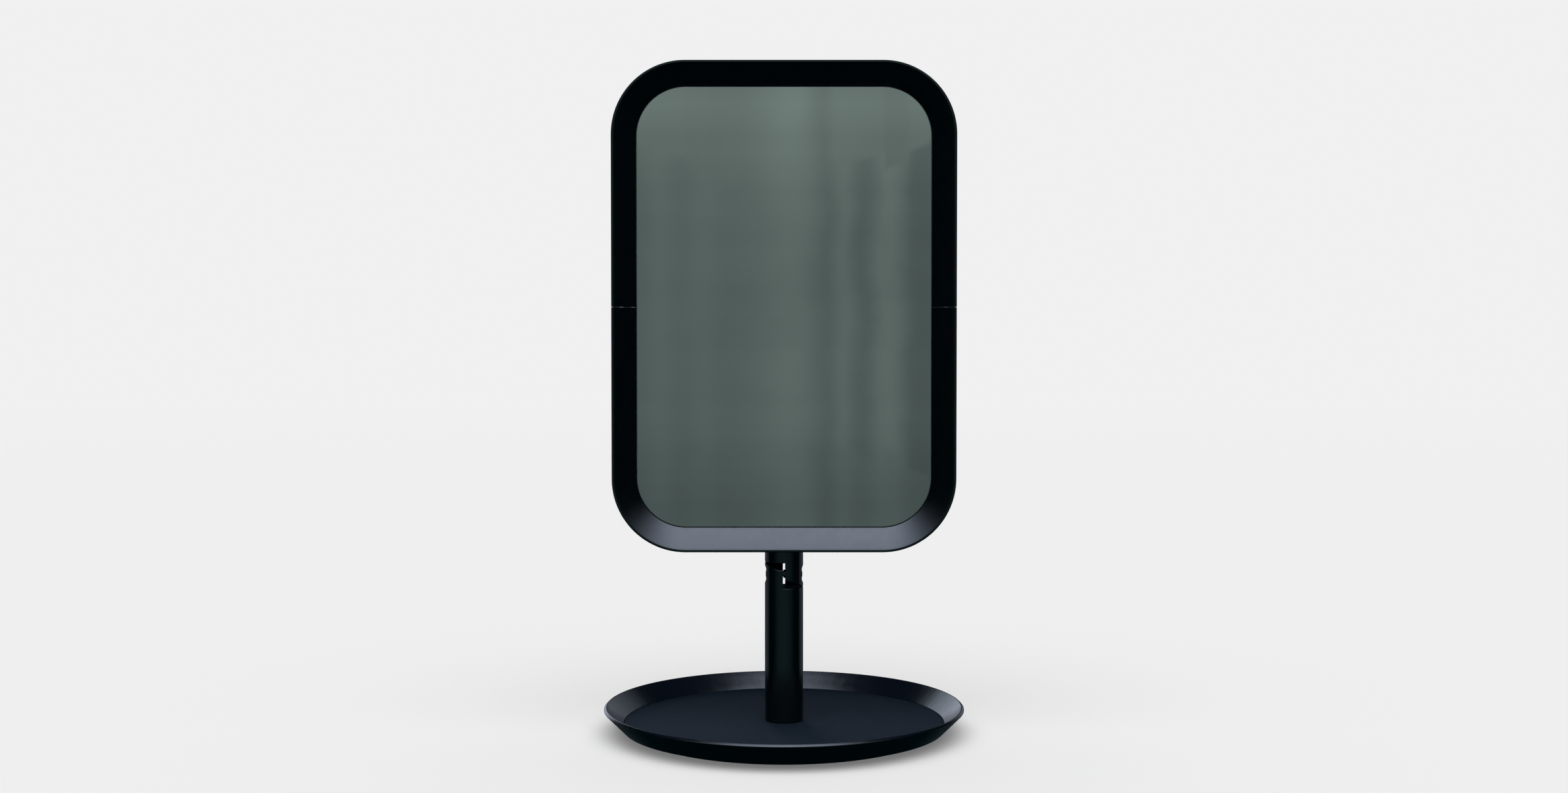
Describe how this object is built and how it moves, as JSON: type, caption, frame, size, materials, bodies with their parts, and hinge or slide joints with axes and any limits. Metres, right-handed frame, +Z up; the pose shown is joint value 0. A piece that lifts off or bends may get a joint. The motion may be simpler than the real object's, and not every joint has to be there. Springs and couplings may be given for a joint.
{
  "type": "countertop mirror",
  "caption": "Tilting countertop mirror: upright rounded-rectangle glass in a dished frame, short round post with a lap hinge, round dished tray base.",
  "frame": {"origin": "on the surface the base stands on, at the middle of the round base and of the post", "axes": "+X to the viewer's right and along the hinge pin, +Y away from the viewer, behind the glass, +Z up along the post"},
  "size_m": [0.2474, 0.2474, 0.4575],
  "materials": {
    "black_lacquer": "satin",
    "mat_rubber": "matte",
    "pad_rubber": "matte",
    "plain_steel": "satin",
    "zinc_screws": "satin",
    "black_screws": "satin",
    "bush_brass": "satin",
    "silvered_glass": "polished",
    "foam_tape": "matte",
    "fibre_board": "matte",
    "panel_plastic": "matte"
  },
  "bodies": {
    "stand": {"base_tray": "black_lacquer", "tray_mat": "mat_rubber", "ballast_plate": "black_lacquer", "plate_screws": "zinc_screws", "grip_ring": "pad_rubber", "post_screw": "zinc_screws", "dowel_pins": "plain_steel", "lower_post": "black_lacquer", "hinge_bush": "bush_brass"},
    "head": {"pivot_pin": "plain_steel", "spacer_washer": "plain_steel", "disc_springs": "plain_steel", "retaining_caps": "black_screws", "upper_stub": "black_lacquer", "frame_upper": "black_lacquer", "frame_lower": "black_lacquer", "joiner_plates": "black_lacquer", "joiner_screws": "black_screws", "mirror_glass": "silvered_glass", "glass_tape": "foam_tape", "backing_board": "fibre_board", "back_panel": "panel_plastic", "panel_screws": "black_screws", "threaded_inserts": "bush_brass", "mount_plate": "black_lacquer", "bracket_screws": "black_screws", "stub_screws": "zinc_screws"}
  },
  "joints": [
    {"name": "head_tilt", "type": "hinge", "parent": "stand", "child": "head", "pos_m": [0, 0, 0.108], "axis": [1, 0, 0], "range_deg": [-15, 15]}
  ]
}
